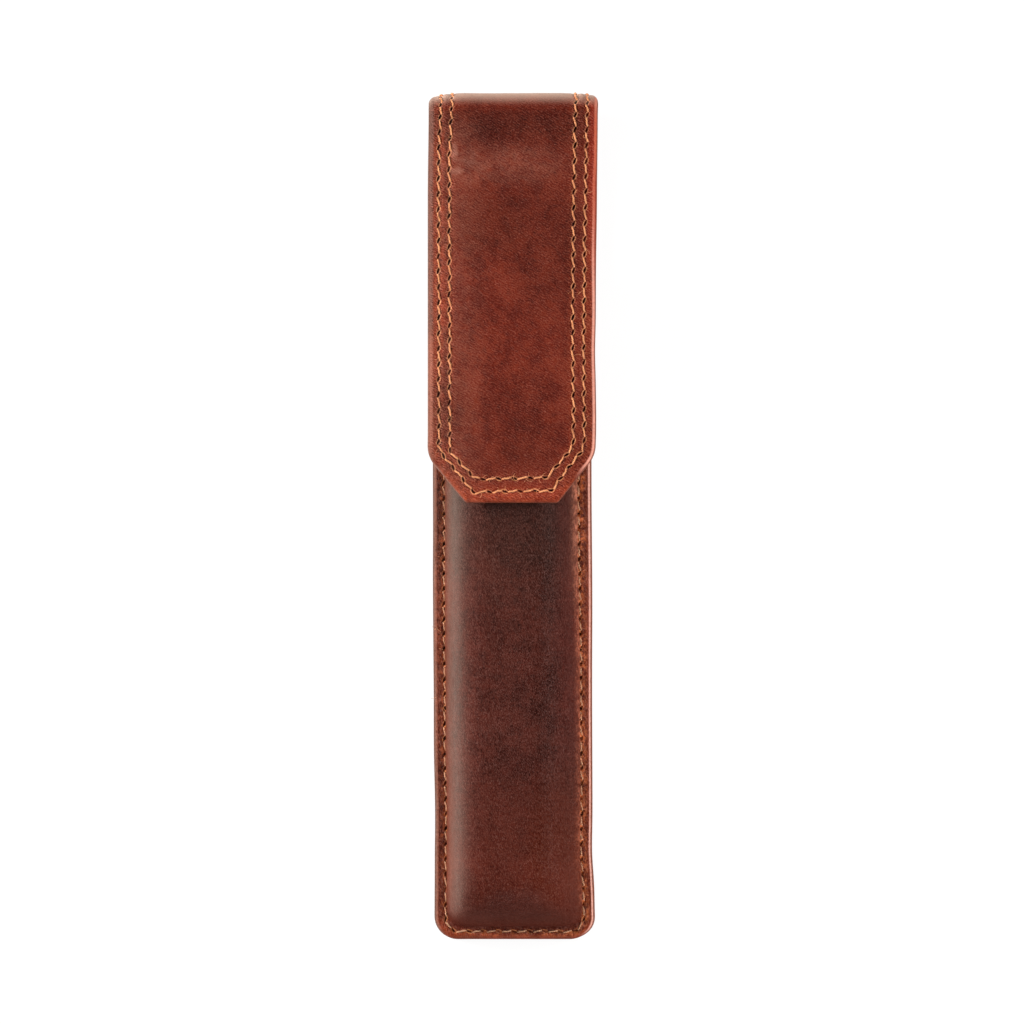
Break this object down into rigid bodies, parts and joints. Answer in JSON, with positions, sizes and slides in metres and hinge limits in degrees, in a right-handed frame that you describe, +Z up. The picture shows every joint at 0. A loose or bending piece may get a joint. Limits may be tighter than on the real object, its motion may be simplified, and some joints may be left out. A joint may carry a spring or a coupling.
{
  "type": "fountain pen case",
  "caption": "Slim leather case for one fountain pen: a moulded pocket sewn to a stiff back, closed by a long flap that folds over the head end.",
  "frame": {"origin": "centre of the resting face of the closed case, which lies on its back", "axes": "+Y along the case from the foot to the folded head, +Z up from the back through the pocket and flap, +X across the width"},
  "size_m": [0.033, 0.165, 0.02],
  "materials": {
    "outer_leather": "waxed full-grain, worn",
    "pocket_leather": "waxed full-grain, worn",
    "lining_leather": "suede",
    "thread": "waxed linen",
    "board": "pressed fibre board",
    "magnet": "nickel plated"
  },
  "bodies": {
    "case": {"back_panel": "outer_leather", "back_stiffener": "board", "back_lining": "lining_leather", "front_panel": "pocket_leather", "front_lining": "lining_leather", "pocket_magnet": "magnet", "body_seam_thread": "thread", "back_row_thread": "thread", "mouth_thread": "thread", "rear_fold": "outer_leather", "rear_fold_lining": "lining_leather", "rear_fold_thread": "thread"},
    "bridge": {"bridge_panel": "outer_leather", "bridge_lining": "lining_leather", "bridge_thread": "thread", "front_fold": "outer_leather", "front_fold_lining": "lining_leather", "front_fold_thread": "thread"},
    "flap": {"flap_panel": "outer_leather", "flap_stiffener": "board", "flap_lining": "lining_leather", "flap_magnet": "magnet", "flap_outer_thread": "thread", "flap_inner_thread": "thread"}
  },
  "joints": [
    {"name": "rear_crease", "type": "hinge", "parent": "case", "child": "bridge", "pos_m": [0, 0.08045, 0.00204], "axis": [-1, 0, 0], "range_deg": [0, 90], "deforming": ["rear_fold", "rear_fold_lining", "rear_fold_thread"]},
    {"name": "front_crease", "type": "hinge", "parent": "bridge", "child": "flap", "pos_m": [0, 0.08045, 0.01795], "axis": [-1, 0, 0], "range_deg": [0, 90], "deforming": ["front_fold", "front_fold_lining", "front_fold_thread"]}
  ]
}
